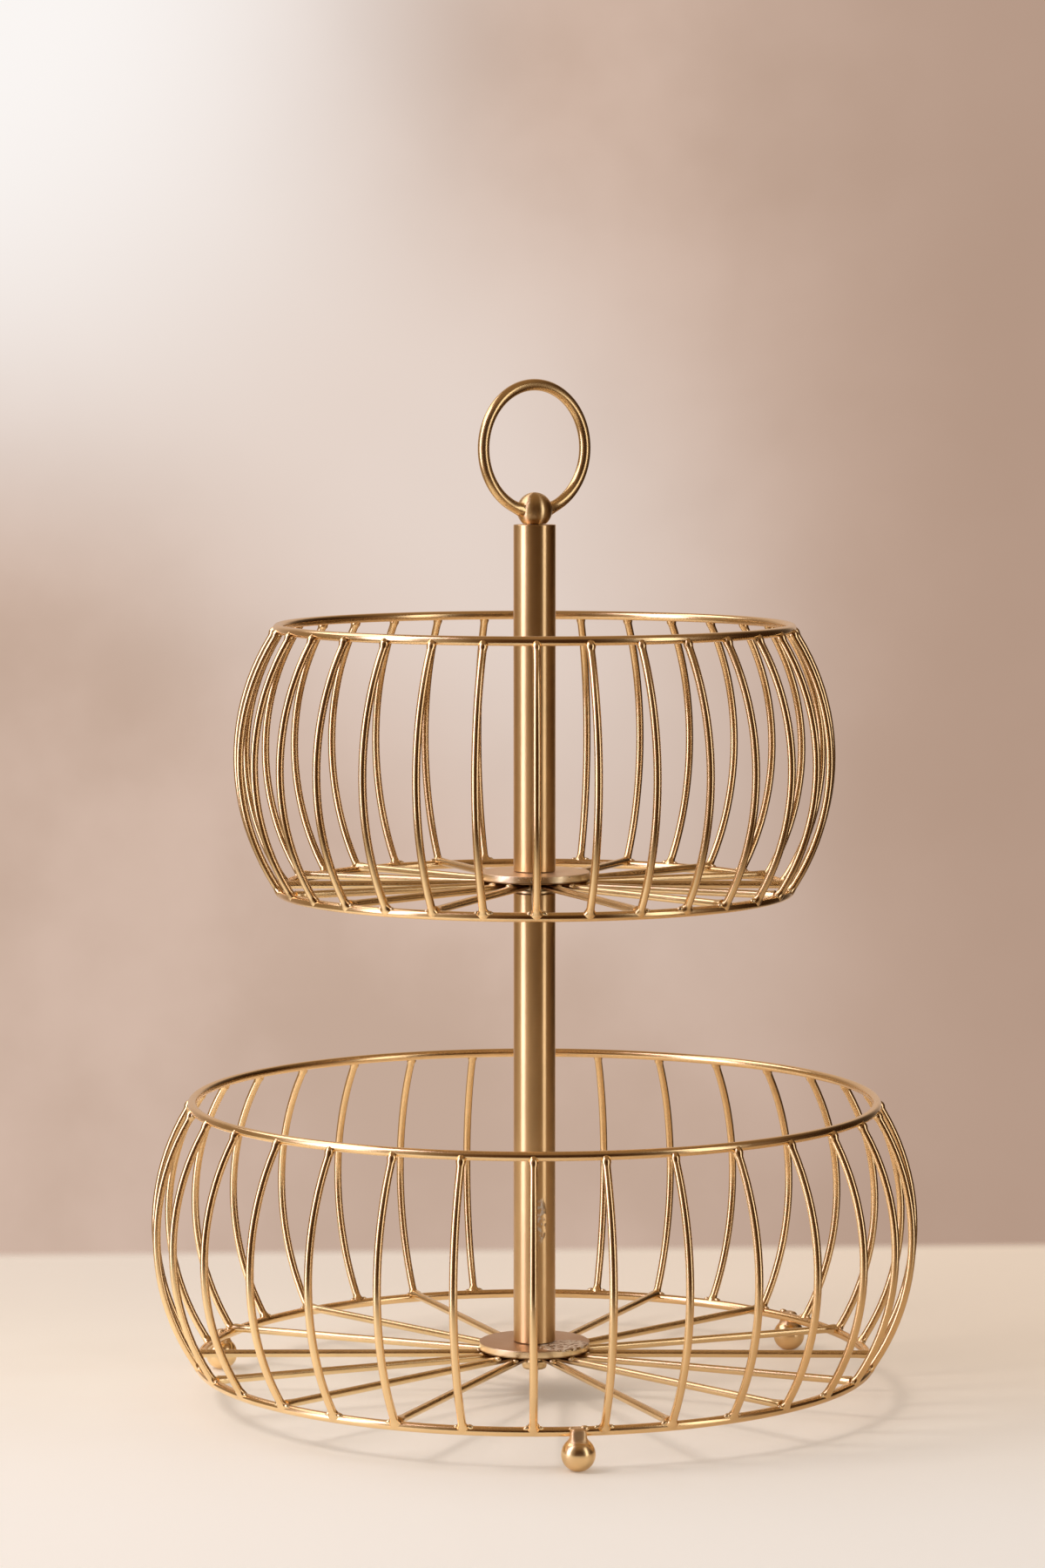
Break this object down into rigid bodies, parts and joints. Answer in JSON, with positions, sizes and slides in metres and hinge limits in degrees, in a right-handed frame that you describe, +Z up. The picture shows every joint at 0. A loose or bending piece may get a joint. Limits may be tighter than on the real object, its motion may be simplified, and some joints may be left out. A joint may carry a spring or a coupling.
{
  "type": "tiered wire basket",
  "caption": "Free-standing tiered fruit basket: round bowed-wire baskets on a tubular post, with a ring handle on top and ball feet below.",
  "frame": {"origin": "on the table, under the post's axis, at the centre of the lower basket", "axes": "+Z up along the post; -Y is the side that faces the viewer in the picture; +X to the viewer's right"},
  "size_m": [0.2934, 0.2934, 0.3881],
  "materials": {
    "basket_wire": "satin champagne-gold plating on drawn steel wire",
    "hub_metal": "champagne-gold plating on steel plate, slightly matt",
    "tube_metal": "champagne-gold plating on steel tube, brushed round it",
    "handle_wire": "champagne-gold plating on steel wire, a little brighter",
    "ball_metal": "champagne-gold plating on a smooth steel ball",
    "fastener_metal": "champagne-gold plating on turned steel",
    "plain_steel": "zinc-plated steel, out of sight"
  },
  "bodies": {
    "post_and_lower_basket": {"lower_rim_and_ribs": "basket_wire", "lower_base_ring": "basket_wire", "lower_spoke_01": "basket_wire", "lower_spoke_02": "basket_wire", "lower_spoke_03": "basket_wire", "lower_spoke_04": "basket_wire", "lower_spoke_05": "basket_wire", "lower_spoke_06": "basket_wire", "lower_spoke_07": "basket_wire", "lower_spoke_08": "basket_wire", "lower_spoke_09": "basket_wire", "lower_spoke_10": "basket_wire", "lower_spoke_11": "basket_wire", "lower_spoke_12": "basket_wire", "lower_spoke_13": "basket_wire", "lower_spoke_14": "basket_wire", "lower_spoke_15": "basket_wire", "lower_spoke_16": "basket_wire", "lower_hub_disc": "hub_metal", "front_foot": "ball_metal", "right_foot": "ball_metal", "left_foot": "ball_metal", "lower_tube": "tube_metal", "lower_tube_bottom_plug": "tube_metal", "lower_tube_top_plug": "tube_metal", "upper_tube": "tube_metal", "upper_tube_bottom_plug": "tube_metal", "upper_tube_top_plug": "tube_metal", "lower_hub_bush": "fastener_metal", "lower_washer": "fastener_metal", "upper_hub_bush": "fastener_metal", "upper_washer": "fastener_metal", "base_screw": "fastener_metal", "joining_stud": "plain_steel"},
    "upper_basket": {"upper_rim_and_ribs": "basket_wire", "upper_base_ring": "basket_wire", "upper_spoke_01": "basket_wire", "upper_spoke_02": "basket_wire", "upper_spoke_03": "basket_wire", "upper_spoke_04": "basket_wire", "upper_spoke_05": "basket_wire", "upper_spoke_06": "basket_wire", "upper_spoke_07": "basket_wire", "upper_spoke_08": "basket_wire", "upper_spoke_09": "basket_wire", "upper_spoke_10": "basket_wire", "upper_spoke_11": "basket_wire", "upper_spoke_12": "basket_wire", "upper_spoke_13": "basket_wire", "upper_spoke_14": "basket_wire", "upper_spoke_15": "basket_wire", "upper_spoke_16": "basket_wire", "upper_hub_disc": "hub_metal"},
    "handle_stud": {"handle_stud": "plain_steel"},
    "handle": {"handle_ball": "ball_metal", "handle_ring": "handle_wire"}
  },
  "joints": [
    {"name": "upper_basket_turn", "type": "hinge", "parent": "post_and_lower_basket", "child": "upper_basket", "pos_m": [0, 0, 0.19477], "axis": [0, 0, 1], "continuous": true},
    {"name": "handle_rise", "type": "slide", "parent": "post_and_lower_basket", "child": "handle_stud", "axis": [0, 0, 1], "range_m": [0, 0.008]},
    {"name": "handle_turn", "type": "hinge", "parent": "handle_stud", "child": "handle", "pos_m": [0, 0, 0.33887], "axis": [0, 0, 1], "range_deg": [0, 2880]}
  ],
  "couplings": [
    {"joint": "handle_turn", "follows": "handle_rise", "rad_per_m": 6283.2}
  ]
}
